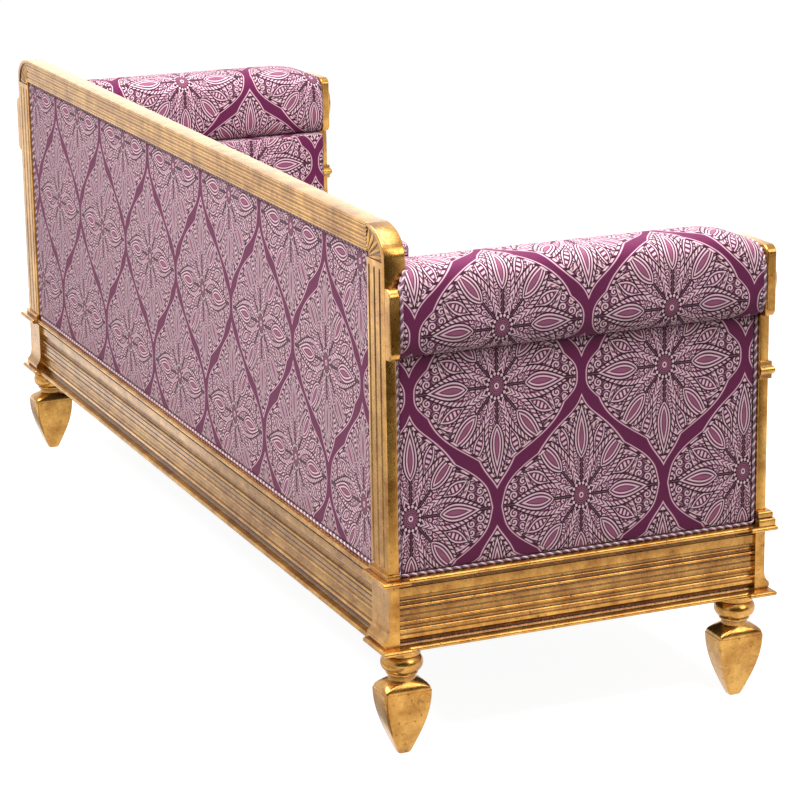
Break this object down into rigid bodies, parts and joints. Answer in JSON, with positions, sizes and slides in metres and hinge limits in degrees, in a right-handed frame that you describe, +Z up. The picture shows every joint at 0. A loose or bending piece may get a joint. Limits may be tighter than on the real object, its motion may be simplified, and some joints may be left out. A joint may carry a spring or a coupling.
{
  "type": "recamier",
  "caption": "Long recamier with level padded arms and a straight padded back, moulded gilt wood frame, loose boxed cushion and turned, tapering feet.",
  "frame": {"origin": "on the floor, under the middle of the base", "axes": "+X to the sitter's right-hand end as seen from behind the back, +Y to the back, +Z up"},
  "size_m": [2.058, 0.715, 0.869],
  "materials": {
    "gilt_wood": "burnished leaf, worn",
    "frame_wood": "planed",
    "figured_fabric": "woven, figured",
    "piping": "twisted cord",
    "webbing": "woven",
    "dust_cloth": "woven",
    "foam": "foam",
    "steel": "zinc plated"
  },
  "bodies": {
    "frame": {"base_rail_front": "gilt_wood", "base_rail_rear": "gilt_wood", "base_rail_left": "gilt_wood", "base_rail_right": "gilt_wood", "corner_block_front_left": "gilt_wood", "corner_block_front_right": "gilt_wood", "corner_block_rear_left": "gilt_wood", "corner_block_rear_right": "gilt_wood", "foot_front_left": "gilt_wood", "foot_front_right": "gilt_wood", "foot_rear_left": "gilt_wood", "foot_rear_right": "gilt_wood", "foot_bolts": "steel", "corner_brace_front_left": "frame_wood", "corner_brace_front_right": "frame_wood", "corner_brace_rear_left": "frame_wood", "corner_brace_rear_right": "frame_wood", "brace_bolts": "steel", "seat_stretcher_left": "frame_wood", "seat_stretcher_right": "frame_wood", "seat_webbing": "webbing", "seat_deck": "figured_fabric", "dust_cover": "dust_cloth", "back_post_left": "gilt_wood", "back_post_right": "gilt_wood", "arm_ear_left": "gilt_wood", "arm_ear_right": "gilt_wood", "front_post_left": "gilt_wood", "front_post_right": "gilt_wood", "post_ring_left": "gilt_wood", "post_ring_right": "gilt_wood", "arm_block_left": "gilt_wood", "arm_block_right": "gilt_wood", "rosette_left": "gilt_wood", "rosette_right": "gilt_wood", "crest_rail": "gilt_wood", "back_top_rail": "frame_wood", "back_lower_rail": "frame_wood", "back_upright_left": "frame_wood", "back_upright_right": "frame_wood", "arm_top_rail_left": "frame_wood", "arm_top_rail_right": "frame_wood", "arm_lower_rail_left": "frame_wood", "arm_lower_rail_right": "frame_wood", "outside_back": "figured_fabric", "inside_back": "figured_fabric", "outside_arm_left": "figured_fabric", "outside_arm_right": "figured_fabric", "inside_arm_left": "figured_fabric", "inside_arm_right": "figured_fabric", "arm_roll_left": "figured_fabric", "arm_roll_right": "figured_fabric", "back_piping": "piping", "arm_piping_left": "piping", "arm_piping_right": "piping"},
    "seat_cushion": {"seat_cushion_cover": "figured_fabric", "seat_cushion_core": "foam"}
  },
  "joints": [
    {"name": "cushion_lift", "type": "slide", "parent": "frame", "child": "seat_cushion", "axis": [0, 0, 1], "range_m": [0, 0.4]}
  ]
}
